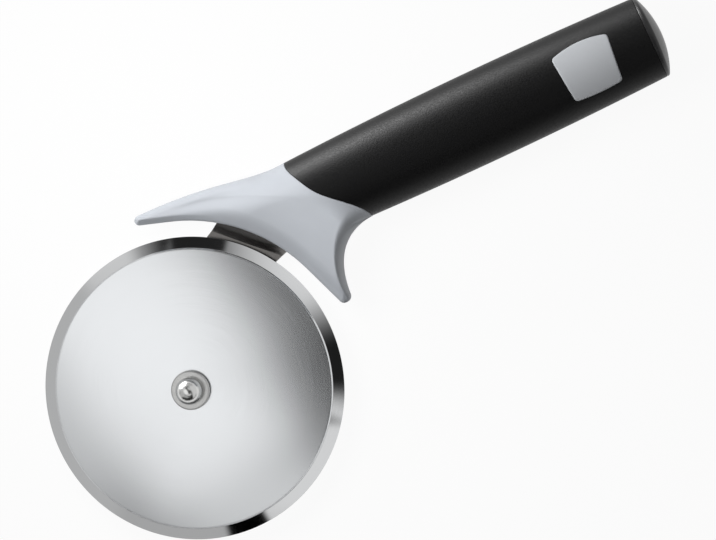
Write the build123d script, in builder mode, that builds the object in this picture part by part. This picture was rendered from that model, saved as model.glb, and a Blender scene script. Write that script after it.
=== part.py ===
from build123d import *
import os
from math import cos, hypot, radians, sin, sqrt

os.makedirs("parts", exist_ok=True)

# A pizza cutter wheel, lying on its back, in millimetres and degrees.
# +Z is the axle, with the domed front of the wheel up, and +X runs along the handle to its end.
# The origin is under the middle of the whole cutter, on the surface that it lies on.
# A reach is measured along the handle from the axle, and a drop across it.

# The wheel, pressed from sheet and ground to an edge from the front
wheel_diameter = 100.0
wheel_thickness = 1.15
edge_land = 0.2
bevel_width = 3.7
step_rise = 0.5
step_run = 0.35
dome_rise = 3.0
rim_gap = 1.6

# The axle and what is stacked on it
axle_diameter = 6.0
thread_diameter = 5.0
ball_diameter = 8.9
ball_neck = 2.0
collar_diameter = 12.9
collar_thickness = 1.3
collar_chamfer = 0.35
slip_washer_diameter = 11.6
slip_washer_thickness = 0.4
bush_wall = 1.5
bush_flange_diameter = 13.0
bush_flange_thickness = 1.0
bush_proud = 0.05
running_gap = 0.05
rear_washer_diameter = 10.0
rear_washer_thickness = 1.0
nut_across_flats = 8.0
nut_height = 4.7
nut_end_wall = 1.0
nut_chamfer = 0.4

# The arm, a curved and bent strip of sheet with a tang
arm_thickness = 2.0
arm_width = 22.5
arm_curve_radius = 65.0
arm_bend_angle = 46.0
arm_bend_reach = 52.0
arm_bend_run = 5.0
arm_bend_radius = 3.0
tang_width = 14.0
tang_end_reach = 132.0

# The handle, oval in section
handle_width = 29.5
handle_depth = 25.0
handle_drop = 40.8
handle_reach = 186.7
waist_reach = 56.0
cover_thickness = 2.0
parting_chamfer = 0.4
spigot_reach = 88.0
core_web = 8.7
pin_diameter = 4.0
pin_clearance = 0.05
pin_reaches = (98.0, 120.0)

# The cap that closes the end of the handle
cap_length = 4.0
cap_side_length = 0.86
cap_edge_radius = 1.0
cap_plug_length = 10.0
cap_plug_diameter = 13.8
cap_plug_clearance = 0.1

# The handle's barrel, widest at the bulge and one arc from waist to cap, and its neck
bulge_reach = 122.5
barrel_radius = 1577.0
neck_reach = 37.0
neck_width = 20.6

# The neck thins from the full depth at the seam to this depth at its wheel end
neck_depth = 7.0
neck_shares = (0.35, 0.55)

# The seam between guard and grip, an S across the handle: shares of its length and of the half width
seam_start_reach = 59.4
seam_length = 19.0
seam_shares = ((0.0, 0.91), (0.153, 0.43), (0.38, -0.03), (0.772, -0.515), (1.0, -0.976))

# The guard: an arc round the wheel, straight at both ends, with a wing on each side of the handle
guard_gap = 5.4
guard_rim_depth = 7.0
guard_root_depth = 14.0
guard_root_margin = 2.0
guard_root_sink = 0.6
guard_edge_radius = 1.5
upper_wing_angle = 72.0
upper_wing_length = 10.1
upper_tip_radius = 1.6
upper_edge_shares = (0.55, 0.75)
lower_wing_angle = 21.0
lower_wing_length = 14.9
lower_tip_radius = 1.9
lower_edge_reach = 79.6
lower_edge_shares = (0.65, 0.58)

# The bare badge let into the front of the grip
badge_setback = 24.9
badge_top_width = 18.8
badge_bottom_width = 15.7
badge_height = 15.0
badge_shift = 1.1
badge_arch = 1.6
badge_sag = 0.5
badge_corner_radius = 1.1
badge_proud = 0.25
peg_diameter = 2.4
peg_length = 2.2
peg_spacing = 8.0

# Places that follow from the sizes above
wheel_radius = wheel_diameter / 2
guard_radius = wheel_radius + guard_gap


def wing_tip(angle, length, tip_radius, way):
    """Start and end of a wing's straight underside, and the centre of its tip, from the axle."""
    along = (-way * sin(radians(angle)), way * cos(radians(angle)))
    out = (cos(radians(angle)), sin(radians(angle)))
    start = (guard_radius * out[0], guard_radius * out[1])
    end = (start[0] + length * along[0], start[1] + length * along[1])
    return start, end, (end[0] + tip_radius * out[0], end[1] + tip_radius * out[1])


upper_start, upper_end, upper_tip = wing_tip(upper_wing_angle, upper_wing_length, upper_tip_radius, 1)
lower_start, lower_end, lower_tip = wing_tip(lower_wing_angle, lower_wing_length, lower_tip_radius, -1)
axle_x = (wheel_radius - handle_reach) / 2
axle_y = (wheel_radius - upper_tip[1] - upper_tip_radius) / 2
axle_point = (axle_x, axle_y)
axle_line = Axis((axle_x, axle_y, 0), (0, 0, 1))
axle_section = Plane(origin=(axle_x, axle_y, 0), x_dir=(1, 0, 0), z_dir=(0, -1, 0))
half_width = handle_width / 2
half_depth = handle_depth / 2
grip_y = axle_y + handle_drop
grip_z = half_depth
waist_x = axle_x + waist_reach
neck_x = axle_x + neck_reach
grip_end_x = axle_x + handle_reach - cap_length
seam_start_x = axle_x + seam_start_reach
spigot_x = axle_x + spigot_reach



def barrel_half_width(reach):
    """Half width of the barrel at a reach from the axle."""
    return half_width - barrel_radius + sqrt(barrel_radius ** 2 - (reach - bulge_reach) ** 2)


# Levels of the stack on the axle, from the surface up
arm_level = nut_height + rear_washer_thickness
arm_top = arm_level + arm_thickness
bush_level = arm_top + slip_washer_thickness + running_gap
edge_level = arm_top + rim_gap + edge_land
bevel_level = edge_level - edge_land + wheel_thickness
foot_level = bevel_level + step_rise
hub_level = foot_level + dome_rise
bush_top = hub_level + bush_proud
front_slip_level = bush_top + running_gap
collar_level = front_slip_level + slip_washer_thickness
collar_top = collar_level + collar_thickness

# The dome is part of a sphere, and its back is the sphere inside it
dome_foot = wheel_radius - bevel_width - step_run
dome_radius = (dome_foot ** 2 + dome_rise ** 2) / (2 * dome_rise)


def dome_level(radius, inset=0.0):
    """Level of the dome at a radius from the axle, or of the surface inset below it."""
    return hub_level - dome_radius + sqrt((dome_radius - inset) ** 2 - radius ** 2)


def ring(outer, inner, level, thickness):
    """A flat ring on the axle."""
    with BuildPart() as made:
        with BuildSketch(Plane.XY.offset(level)):
            with Locations(axle_point):
                Circle(outer / 2)
                Circle(inner / 2, mode=Mode.SUBTRACT)
        extrude(amount=thickness)
    return made.part


# Wheel
hub_radius = axle_diameter / 2 + running_gap + bush_wall
mid_radius = (dome_foot + hub_radius) / 2
with BuildPart() as blade_wheel:
    with BuildSketch(axle_section):
        with BuildLine():
            Polyline(
                (dome_foot, foot_level),
                (wheel_radius - bevel_width, bevel_level),
                (wheel_radius, edge_level),
                (wheel_radius, edge_level - edge_land),
                (dome_foot, edge_level - edge_land),
                (dome_foot, dome_level(dome_foot, wheel_thickness)),
            )
            ThreePointArc(
                (dome_foot, dome_level(dome_foot, wheel_thickness)),
                (mid_radius, dome_level(mid_radius, wheel_thickness)),
                (hub_radius, dome_level(hub_radius, wheel_thickness)),
            )
            Line(
                (hub_radius, dome_level(hub_radius, wheel_thickness)),
                (hub_radius, dome_level(hub_radius)),
            )
            ThreePointArc(
                (hub_radius, dome_level(hub_radius)),
                (mid_radius, dome_level(mid_radius)),
                (dome_foot, foot_level),
            )
        make_face()
    revolve(axis=axle_line)
blade_wheel.part.label = "blade_wheel"

# Bush pressed into the wheel, with its flange behind the dome
bush_bore = axle_diameter / 2 + running_gap
flange_radius = bush_flange_diameter / 2
flange_level = dome_level(flange_radius, wheel_thickness) - bush_flange_thickness
with BuildPart() as hub_bush:
    with BuildSketch(axle_section):
        with BuildLine():
            Polyline(
                (bush_bore, bush_level),
                (hub_radius, bush_level),
                (hub_radius, flange_level),
                (flange_radius, flange_level),
                (flange_radius, dome_level(hub_radius, wheel_thickness)),
                (hub_radius, dome_level(hub_radius, wheel_thickness)),
                (hub_radius, bush_top),
                (bush_bore, bush_top),
                close=True,
            )
        make_face()
    revolve(axis=axle_line)
    add(blade_wheel.part, mode=Mode.SUBTRACT)
hub_bush.part.label = "hub_bush"

# Axle: a ball head on a plain shank, with a thinner end that the nut takes
ball_radius = ball_diameter / 2
ball_level = collar_top + ball_neck
ball_foot = sqrt(ball_radius ** 2 - ball_neck ** 2)
with BuildPart() as axle_pin:
    with BuildSketch(axle_section):
        with BuildLine():
            ThreePointArc(
                (ball_foot, collar_top),
                (ball_radius, ball_level),
                (0, ball_level + ball_radius),
            )
            Polyline(
                (0, ball_level + ball_radius),
                (0, nut_end_wall),
                (thread_diameter / 2, nut_end_wall),
                (thread_diameter / 2, arm_top),
                (axle_diameter / 2, arm_top),
                (axle_diameter / 2, collar_top),
                (ball_foot, collar_top),
            )
        make_face()
    revolve(axis=axle_line)
axle_pin.part.label = "axle_pin"

# Rings on the axle
washer_bore = axle_diameter + 2 * running_gap
with BuildPart() as axle_collar:
    add(ring(collar_diameter, washer_bore, collar_level, collar_thickness))
    chamfer(axle_collar.faces().sort_by(Axis.Z)[-1].outer_wire().edges(), collar_chamfer)
axle_collar.part.label = "axle_collar"
front_slip_washer = ring(slip_washer_diameter, washer_bore, front_slip_level, slip_washer_thickness)
front_slip_washer.label = "front_slip_washer"
rear_slip_washer = ring(slip_washer_diameter, washer_bore, arm_top, slip_washer_thickness)
rear_slip_washer.label = "rear_slip_washer"
rear_washer = ring(
    rear_washer_diameter, thread_diameter + 2 * running_gap, nut_height, rear_washer_thickness,
)
rear_washer.label = "rear_washer"

# Closed nut on the back, whose flat end the cutter lies on
with BuildPart() as axle_nut:
    with BuildSketch():
        with Locations(axle_point):
            RegularPolygon(nut_across_flats / 2, 6, major_radius=False)
    extrude(amount=nut_height)
    chamfer(axle_nut.faces().sort_by(Axis.Z)[0].edges(), nut_chamfer)
    with BuildSketch(Plane.XY.offset(nut_end_wall)):
        with Locations(axle_point):
            Circle(thread_diameter / 2)
    extrude(amount=nut_height, mode=Mode.SUBTRACT)
axle_nut.part.label = "axle_nut"

# Arm: the strip's outline, cut by the sheet's side view across the bends
curve_x = axle_x + sqrt(arm_curve_radius ** 2 - (arm_curve_radius - handle_drop) ** 2)
tang_end_x = axle_x + tang_end_reach
bend_plane = Plane(
    origin=(axle_x, axle_y, 0),
    x_dir=(cos(radians(arm_bend_angle)), sin(radians(arm_bend_angle)), 0),
    z_dir=(sin(radians(arm_bend_angle)), -cos(radians(arm_bend_angle)), 0),
)
arm_middle = RadiusArc((curve_x, grip_y), axle_point, -arm_curve_radius, mode=Mode.PRIVATE)
with BuildPart() as wheel_arm:
    with BuildSketch():
        SlotArc(arm_middle, arm_width)
        with BuildLine():
            Polyline(
                (curve_x, grip_y - tang_width / 2),
                (tang_end_x - tang_width / 2, grip_y - tang_width / 2),
                (tang_end_x, grip_y),
                (tang_end_x - tang_width / 2, grip_y + tang_width / 2),
                (curve_x, grip_y + tang_width / 2),
                close=True,
            )
        make_face()
        with Locations(axle_point):
            Circle(thread_diameter / 2 + running_gap, mode=Mode.SUBTRACT)
        with Locations(*[(axle_x + reach, grip_y) for reach in pin_reaches]):
            Circle(pin_diameter / 2 + pin_clearance, mode=Mode.SUBTRACT)
    extrude(amount=handle_depth)
    with BuildSketch(bend_plane):
        with BuildLine():
            FilletPolyline(
                (-arm_width, arm_level),
                (arm_bend_reach, arm_level),
                (arm_bend_reach + arm_bend_run, grip_z - arm_thickness / 2),
                (handle_reach, grip_z - arm_thickness / 2),
                radius=arm_bend_radius,
            )
            offset(amount=arm_thickness, side=Side.LEFT)
        make_face()
    extrude(amount=handle_reach, both=True, mode=Mode.INTERSECT)
wheel_arm.part.label = "wheel_arm"


def handle_form(inset):
    """The handle from neck to cap, turned about its middle line and flattened to an oval."""
    with BuildPart() as turned:
        with BuildSketch():
            with BuildLine():
                barrel = ThreePointArc(
                    (waist_x, barrel_half_width(waist_reach) - inset),
                    (axle_x + bulge_reach, half_width - inset),
                    (grip_end_x, barrel_half_width(handle_reach - cap_length) - inset),
                )
                neck = TangentArc(
                    (waist_x, barrel_half_width(waist_reach) - inset),
                    (neck_x, neck_width / 2 - inset),
                    tangent=-(barrel % 0),
                )
                Polyline(barrel @ 1, (grip_end_x, 0), (neck_x, 0), neck @ 1)
            make_face()
        revolve(axis=Axis.X)
    flattening = (half_depth - inset) / (half_width - inset)
    return Pos(0, grip_y, grip_z) * scale(turned.part, by=(1, 1, flattening))


outer_form = handle_form(0)
inner_form = handle_form(cover_thickness)
badge_form = handle_form(-badge_proud)

# Everything on the wheel's side of the S seam
seam_points = [
    (seam_start_x + seam_length * along, grip_y + half_width * across)
    for along, across in seam_shares
]
with BuildPart() as front_zone:
    with BuildSketch():
        with BuildLine():
            Spline(*seam_points, tangents=[(0, -1), (0, -1)])
            Polyline(
                seam_points[-1],
                (seam_points[-1][0], axle_y - wheel_radius),
                (axle_x - wheel_radius, axle_y - wheel_radius),
                (axle_x - wheel_radius, grip_y + handle_width),
                (seam_points[0][0], grip_y + handle_width),
                seam_points[0],
            )
        make_face()
    extrude(amount=handle_depth)

# Crescent of the guard, drawn from the axle
crescent_plane = Plane(origin=(axle_x, axle_y, 0))
mid_angle = radians((upper_wing_angle + lower_wing_angle) / 2)
upper_edge = (upper_tip[0], upper_tip[1] + upper_tip_radius)
upper_waist = (waist_reach, handle_drop + barrel_half_width(waist_reach) - guard_root_sink)
upper_run = upper_waist[0] - upper_edge[0]
lower_edge = (lower_tip[0] + lower_tip_radius, lower_tip[1])
lower_waist = (
    lower_edge_reach, handle_drop - barrel_half_width(lower_edge_reach) + guard_root_sink,
)
lower_run = lower_waist[0] - lower_edge[0]
lower_fall = lower_waist[1] - lower_edge[1]
root_radius = max(hypot(*upper_waist), hypot(*lower_waist)) + guard_root_margin
with BuildPart() as crescent:
    with BuildSketch(crescent_plane):
        with BuildLine():
            Line(upper_end, upper_start)
            ThreePointArc(
                upper_start,
                (guard_radius * cos(mid_angle), guard_radius * sin(mid_angle)),
                lower_start,
            )
            Line(lower_start, lower_end)
            ThreePointArc(
                lower_end,
                (lower_tip[0], lower_tip[1] - lower_tip_radius),
                lower_edge,
            )
            Bezier(
                lower_edge,
                (lower_edge[0], lower_edge[1] + lower_fall * lower_edge_shares[1]),
                (lower_waist[0] - lower_run * lower_edge_shares[0], lower_waist[1]),
                lower_waist,
            )
            Line(lower_waist, upper_waist)
            Bezier(
                upper_waist,
                (upper_edge[0] + upper_run * upper_edge_shares[1], upper_waist[1]),
                (upper_edge[0] + upper_run * upper_edge_shares[0], upper_edge[1]),
                upper_edge,
            )
            ThreePointArc(
                upper_edge,
                (upper_tip[0] - upper_tip_radius, upper_tip[1]),
                upper_end,
            )
        make_face()
    extrude(amount=handle_depth)
    with BuildSketch(axle_section):
        with BuildLine():
            Polyline(
                (wheel_radius, grip_z - guard_rim_depth / 2),
                (root_radius, grip_z - guard_root_depth / 2),
                (root_radius, grip_z + guard_root_depth / 2),
                (wheel_radius, grip_z + guard_rim_depth / 2),
                close=True,
            )
        make_face()
    revolve(axis=axle_line, mode=Mode.INTERSECT)
    fillet(crescent.faces().filter_by(GeomType.CONE).edges(), guard_edge_radius)

# Guard: crescent and neck, with a spigot inside the grip and the arm moulded in
neck_run = seam_start_x - neck_x
with BuildPart() as guard:
    add(outer_form)
    with BuildSketch(Plane.XZ.offset(-grip_y)):
        with BuildLine():
            for side in (-1, 1):
                Bezier(
                    (seam_start_x, grip_z + side * half_depth),
                    (seam_start_x - neck_run * neck_shares[0], grip_z + side * half_depth),
                    (neck_x + neck_run * neck_shares[1], grip_z + side * neck_depth / 2),
                    (neck_x, grip_z + side * neck_depth / 2),
                )
                Line(
                    (seam_start_x, grip_z + side * half_depth),
                    (grip_end_x, grip_z + side * half_depth),
                )
            Line((neck_x, grip_z - neck_depth / 2), (neck_x, grip_z + neck_depth / 2))
            Line((grip_end_x, grip_z - half_depth), (grip_end_x, grip_z + half_depth))
        make_face()
    extrude(amount=handle_width, both=True, mode=Mode.INTERSECT)
    with BuildSketch(crescent_plane):
        Circle(guard_radius)
    extrude(amount=handle_depth, mode=Mode.SUBTRACT)
    add(crescent.part)
    add(front_zone.part, mode=Mode.INTERSECT)
    add(split(inner_form, bisect_by=Plane.YZ.offset(spigot_x), keep=Keep.BOTTOM, mode=Mode.PRIVATE))
    add(wheel_arm.part, mode=Mode.SUBTRACT)
    with BuildSketch(crescent_plane):
        Circle(guard_radius)
    extrude(amount=handle_depth, mode=Mode.SUBTRACT)
guard.part.label = "guard"

# Pins that hold the tang, cut flush with the core
with BuildPart() as tang_pins:
    with BuildSketch(Plane.XY):
        with Locations(*[(axle_x + reach, grip_y) for reach in pin_reaches]):
            Circle(pin_diameter / 2)
    extrude(amount=handle_depth)
    add(inner_form, mode=Mode.INTERSECT)
tang_pins.part.label = "tang_pins"

# Window in the cover for the badge, with a bowed top and bottom
badge_x = axle_x + handle_reach - badge_setback
badge_top_y = grip_y + badge_height / 2 - badge_shift
badge_bottom_y = badge_top_y - badge_height
with BuildPart() as badge_window:
    with BuildSketch(Plane.XY.offset(grip_z)) as badge_outline:
        with BuildLine():
            ThreePointArc(
                (badge_x - badge_top_width / 2, badge_top_y),
                (badge_x, badge_top_y + badge_arch),
                (badge_x + badge_top_width / 2, badge_top_y),
            )
            Line(
                (badge_x + badge_top_width / 2, badge_top_y),
                (badge_x + badge_bottom_width / 2, badge_bottom_y),
            )
            ThreePointArc(
                (badge_x + badge_bottom_width / 2, badge_bottom_y),
                (badge_x, badge_bottom_y - badge_sag),
                (badge_x - badge_bottom_width / 2, badge_bottom_y),
            )
            Line(
                (badge_x - badge_bottom_width / 2, badge_bottom_y),
                (badge_x - badge_top_width / 2, badge_top_y),
            )
        make_face()
        fillet(badge_outline.vertices(), badge_corner_radius)
    extrude(amount=half_depth)

# Badge: fills the window, a little proud of the cover, with pegs in the core
peg_places = [(badge_x - peg_spacing / 2, grip_y), (badge_x + peg_spacing / 2, grip_y)]
peg_foot = grip_z + half_depth - cover_thickness - peg_length
with BuildPart() as badge:
    add(badge_form)
    add(inner_form, mode=Mode.SUBTRACT)
    add(badge_window.part, mode=Mode.INTERSECT)
    with BuildSketch(Plane.XY.offset(peg_foot)):
        with Locations(*peg_places):
            Circle(peg_diameter / 2)
    extrude(amount=peg_length + cover_thickness / 2)
badge.part.label = "badge"

# Core: fills the grip behind the spigot, slotted for the tang, drilled for its pins, hollow at the end
with BuildPart() as grip_core:
    add(split(inner_form, bisect_by=Plane.YZ.offset(spigot_x), keep=Keep.TOP, mode=Mode.PRIVATE))
    add(wheel_arm.part, mode=Mode.SUBTRACT)
    with BuildSketch(Plane.XY):
        with Locations(*[(axle_x + reach, grip_y) for reach in pin_reaches]):
            Circle(pin_diameter / 2)
    extrude(amount=handle_depth, mode=Mode.SUBTRACT)
    with BuildSketch(Plane.YZ.offset(grip_end_x)):
        with Locations((grip_y, grip_z)):
            Circle(cap_plug_diameter / 2 + cap_plug_clearance)
    extrude(amount=tang_end_x + core_web - grip_end_x, mode=Mode.SUBTRACT)
    add(badge.part, mode=Mode.SUBTRACT)
grip_core.part.label = "grip_core"

# Cover: the soft skin over the core, with its window for the badge
with BuildPart() as grip_cover:
    add(outer_form)
    add(front_zone.part, mode=Mode.SUBTRACT)
    chamfer(grip_cover.faces().sort_by(Axis.X)[-1].edges(), parting_chamfer)
    add(inner_form, mode=Mode.SUBTRACT)
    add(badge_window.part, mode=Mode.SUBTRACT)
grip_cover.part.label = "grip_cover"

# Cap: a domed end with a plug in the core's bore
cap_half_width = barrel_half_width(handle_reach - cap_length)
cap_rise = cap_length - cap_side_length
cap_dome_radius = (cap_half_width ** 2 + cap_rise ** 2) / (2 * cap_rise)
with BuildPart() as end_cap:
    with BuildSketch(Plane.YZ.offset(grip_end_x)):
        with Locations((grip_y, grip_z)):
            Ellipse(cap_half_width, cap_half_width * half_depth / half_width)
    extrude(amount=cap_length)
    with Locations((grip_end_x + cap_length - cap_dome_radius, grip_y, grip_z)):
        Sphere(cap_dome_radius, mode=Mode.INTERSECT)
    dome = end_cap.faces().filter_by(GeomType.SPHERE)
    fillet(dome.edges(), cap_edge_radius)
    chamfer(end_cap.faces().sort_by(Axis.X)[0].edges(), parting_chamfer)
    with BuildSketch(Plane.YZ.offset(grip_end_x)):
        with Locations((grip_y, grip_z)):
            Circle(cap_plug_diameter / 2)
    extrude(amount=-cap_plug_length)
end_cap.part.label = "end_cap"

pieces = (
    blade_wheel.part, hub_bush.part, axle_pin.part, axle_collar.part, front_slip_washer,
    rear_slip_washer, rear_washer, axle_nut.part, wheel_arm.part, guard.part,
    grip_core.part, tang_pins.part, grip_cover.part, badge.part, end_cap.part,
)
for piece in pieces:
    export_step(piece, "parts/" + piece.label + ".step")
    print(piece.label, len(piece.solids()), round(piece.volume), piece.is_valid)
box = Compound(children=list(pieces)).bounding_box()
print("whole cutter from", box.min, "to", box.max)
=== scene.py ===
# %% [markdown]
# # A pizza cutter wheel
# The cutter lies on its back with the domed side of its wheel up. A satin dome and a buffed bevel meet
# on the wheel, a light grey guard swings round the rim, and a black soft grip runs away from it.
# Most of its pieces are turned or swept forms, so this lesson builds them from rings of points.

# %% The frame
import math

import bmesh
import bpy
import numpy as np
from mathutils import Matrix, Vector


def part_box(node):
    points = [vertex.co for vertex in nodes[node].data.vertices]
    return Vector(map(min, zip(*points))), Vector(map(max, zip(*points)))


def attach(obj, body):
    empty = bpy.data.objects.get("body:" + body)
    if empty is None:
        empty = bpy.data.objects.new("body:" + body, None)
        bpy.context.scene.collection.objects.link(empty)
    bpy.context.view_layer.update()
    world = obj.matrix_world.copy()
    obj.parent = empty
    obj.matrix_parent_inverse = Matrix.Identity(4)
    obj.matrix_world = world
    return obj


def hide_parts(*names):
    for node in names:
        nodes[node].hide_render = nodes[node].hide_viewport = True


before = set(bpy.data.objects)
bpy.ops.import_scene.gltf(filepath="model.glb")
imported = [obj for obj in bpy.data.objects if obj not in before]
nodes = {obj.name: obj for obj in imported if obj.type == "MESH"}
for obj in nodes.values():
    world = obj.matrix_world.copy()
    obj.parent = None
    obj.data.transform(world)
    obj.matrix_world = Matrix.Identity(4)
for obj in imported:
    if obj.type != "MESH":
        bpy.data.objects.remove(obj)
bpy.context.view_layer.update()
MM = 0.001

# %% [markdown]
# Two lines rule the cutter: the axle, in the middle of the wheel's box, and the middle line of the
# handle, in the middle of the cover's box. Every mesh below is drawn in millimetres from the foot of the
# axle, and these places are read from the frame, so each mesh is where its solid is.

# %% The axle and the handle's line
wheel_low, wheel_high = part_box("blade_wheel")
cover_low, cover_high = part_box("grip_cover")
axle = Vector(((wheel_low.x + wheel_high.x) / 2, (wheel_low.y + wheel_high.y) / 2, 0))
wheel_radius = (wheel_high.x - wheel_low.x) / 2 / MM
half_width = (cover_high.y - cover_low.y) / 2 / MM
half_depth = (cover_high.z - cover_low.z) / 2 / MM
handle_drop = ((cover_low.y + cover_high.y) / 2 - axle.y) / MM
handle_level = (cover_low.z + cover_high.z) / 2 / MM
grip_end = (cover_high.x - axle.x) / MM
print("wheel radius", round(wheel_radius, 3), "handle", round(half_width, 3), "by", round(half_depth, 3),
      "drop", round(handle_drop, 3), "grip ends at", round(grip_end, 3))

# %% [markdown]
# ## Camera
# The photograph looks nearly straight down from above the handle's end, so the rim is a slightly
# flattened circle. The camera's place, roll and lens were worked out from that ellipse and from the
# handle's outline. A long lens keeps the far end of the handle as wide as the near one.

# %% Camera
camera_place = Vector((119.25, 8.53, 850.8)) * MM
camera_aim = Vector((-2.34, 8.21, 9.5)) * MM
camera_roll = math.radians(24.62)

camera_data = bpy.data.cameras.new("camera")
camera_data.lens = 131.46
camera_data.sensor_width = 36.0
camera_data.clip_start = 0.05
camera_data.clip_end = 20.0
camera = bpy.data.objects.new("camera", camera_data)
bpy.context.scene.collection.objects.link(camera)
bpy.context.scene.camera = camera
backwards = (camera_place - camera_aim).normalized()
sideways = Vector((math.cos(camera_roll), -math.sin(camera_roll), 0))
sideways = (sideways - backwards * sideways.dot(backwards)).normalized()
upwards = backwards.cross(sideways)
camera.matrix_world = Matrix([
    (sideways[i], upwards[i], backwards[i], camera_place[i]) for i in range(3)
] + [(0, 0, 0, 1)])
print("camera at", [round(value, 3) for value in camera_place], "lens", round(camera_data.lens, 2))

# %% [markdown]
# ## Tools for materials
# Colours are written as sRGB hex values, as on a paint chart, so one function turns them into the linear
# values that Blender mixes. Another adds a node with its settings and links. Everything else about a
# finish is written where that finish is made.


# %% Colours and nodes
def linear(hex_colour):
    """Linear colour with alpha from an sRGB hex value."""
    shares = [int(hex_colour[i:i + 2], 16) / 255 for i in (0, 2, 4)]
    return [s / 12.92 if s <= 0.04045 else ((s + 0.055) / 1.055) ** 2.4 for s in shares] + [1.0]


def add(tree, kind, inputs, **settings):
    """Add a node with its settings, link or set its inputs, and return its first output."""
    made = tree.nodes.new(kind)
    for name, value in settings.items():
        setattr(made, name, value)
    for name, value in inputs.items():
        found = made.inputs[name] if isinstance(name, int) else next(
            s for s in made.inputs if s.name == name and s.enabled)
        if isinstance(value, bpy.types.NodeSocket):
            tree.links.new(value, found)
        else:
            found.default_value = value
    return next((s for s in made.outputs if s.enabled), None)


print("sRGB 80 80 80 is", round(linear("808080")[0], 3), "linear")

# %% [markdown]
# A finish starts as a Principled shader with its steady values on its own sockets. What varies over the
# surface, such as grain, rings or brushing, is a pattern that swings the roughness a little and lifts
# the surface by a small fraction of a millimetre. Noise seldom leaves the range from 0.3 to 0.7, so that
# range is stretched over the swing.

# %% A finish and what works it
noise_low, noise_high = 0.3, 0.7


def finish(name, **values):
    """A material whose Principled shader has these values."""
    made = bpy.data.materials.new(name)
    made.use_nodes = True
    shader = made.node_tree.nodes["Principled BSDF"]
    for socket, value in values.items():
        shader.inputs[socket.replace("_", " ")].default_value = value
    return made, made.node_tree, shader


def work_surface(tree, shader, pattern, smooth, rough, height):
    """Let a pattern swing the roughness from smooth to rough and raise the surface by a height in mm."""
    swing = add(tree, "ShaderNodeMapRange", {
        "Value": pattern, "From Min": noise_low, "From Max": noise_high,
        "To Min": smooth, "To Max": rough,
    })
    tree.links.new(swing, shader.inputs["Roughness"])
    relief = add(tree, "ShaderNodeBump", {"Height": pattern, "Strength": 1.0, "Distance": height * MM})
    tree.links.new(relief, shader.inputs["Normal"])


def own_place(tree):
    """Place in the piece's own space, in metres."""
    made = tree.nodes.new("ShaderNodeTexCoord")
    return made.outputs["Object"]


def grain(tree, size, detail=2.0, stretch=(1, 1, 1), turn=0.0):
    """Irregular grain, size mm across, drawn out along an axis that is turned in the plane."""
    turned = add(tree, "ShaderNodeVectorRotate", {
        "Vector": own_place(tree), "Angle": -math.radians(turn),
    }, rotation_type="Z_AXIS")
    drawn = add(tree, "ShaderNodeVectorMath", {0: turned, 1: stretch}, operation="MULTIPLY")
    return add(tree, "ShaderNodeTexNoise", {"Vector": drawn, "Scale": 1 / (size * MM), "Detail": detail})


def turned_rings(tree, pitch, length=3.0):
    """Rings about the axle, pitch mm apart, each fading in and out along its turn."""
    flat = add(tree, "ShaderNodeVectorMath", {0: own_place(tree), 1: (1, 1, 0)}, operation="MULTIPLY")
    way = add(tree, "ShaderNodeVectorMath", {0: flat}, operation="NORMALIZE")
    radius = add(tree, "ShaderNodeVectorMath", {0: flat, 1: way}, operation="DOT_PRODUCT")
    slow = add(tree, "ShaderNodeVectorMath", {0: way, "Scale": length * pitch * MM}, operation="SCALE")
    outward = add(tree, "ShaderNodeCombineXYZ", {"Z": radius})
    both = add(tree, "ShaderNodeVectorMath", {0: slow, 1: outward})
    return add(tree, "ShaderNodeTexNoise", {"Vector": both, "Scale": 1 / (pitch * MM), "Detail": 3.0})


print("a finish swings its roughness with grain or turned rings")

# %% [markdown]
# ## Metals
# Wheel, arm and axle are stainless steel. The dome is satin: fleece wheels leave rings too fine to see,
# which spread a reflection outwards more than round, so the shader is anisotropic. The bevel is ground
# and buffed until it mirrors the studio. A metal's colour says how much it reflects, so the IOR stays
# at its default. The rings are drawn about ten times too coarse, because real ones would vanish.


# %% Stainless steels
def satin_dome_steel():
    """Stainless sheet polished with a fleece wheel."""
    made, tree, shader = finish(
        "satin_polished_stainless_steel", Base_Color=linear("dee0e2"), Metallic=1.0,
        Anisotropic=0.3, Anisotropic_Rotation=0.25,
    )
    pattern = turned_rings(tree, 0.3, length=2.0)
    work_surface(tree, shader, pattern, smooth=0.22, rough=0.25, height=0.00006)
    return made


def buffed_bevel_steel():
    """Stainless sheet, ground to a bevel and buffed."""
    made, tree, shader = finish("buffed_stainless_steel", Base_Color=linear("d9dadb"), Metallic=1.0)
    pattern = turned_rings(tree, 0.3, length=2.0)
    work_surface(tree, shader, pattern, smooth=0.03, rough=0.07, height=0.00008)
    return made


def polished_ball_steel():
    """Stainless bar, turned and polished, for the ball head."""
    made, tree, shader = finish("polished_stainless_bar", Base_Color=linear("d4d4d3"), Metallic=1.0)
    work_surface(tree, shader, turned_rings(tree, 0.12), smooth=0.18, rough=0.24, height=0.0002)
    return made


def turned_collar_steel():
    """Stainless bar as it leaves the lathe, greyer than what is polished, for the collar."""
    made, tree, shader = finish("turned_stainless_bar", Base_Color=linear("b6b6b5"), Metallic=1.0)
    work_surface(tree, shader, turned_rings(tree, 0.12), smooth=0.24, rough=0.34, height=0.0006)
    return made


def tumbled_steel():
    """Stainless nut and washer, tumbled smooth after cutting."""
    made, tree, shader = finish("tumbled_stainless_steel", Base_Color=linear("c6c5c3"), Metallic=1.0)
    work_surface(tree, shader, grain(tree, 0.6), smooth=0.22, rough=0.36, height=0.002)
    return made


def brushed_sheet_steel():
    """Stainless sheet with the mill's brushing along the arm, its colour darkened as painted shade."""
    # The base colour is darker than the other steels: painted shade and painted dark reflection for the
    # neck under the rim.
    made, tree, shader = finish("brushed_stainless_sheet_painted_shade", Base_Color=linear("6e6c6a"), Metallic=1.0)
    pattern = grain(tree, 0.14, detail=3.0, stretch=(0.04, 1, 1), turn=46)
    work_surface(tree, shader, pattern, smooth=0.24, rough=0.36, height=0.0015)
    return made


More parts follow.
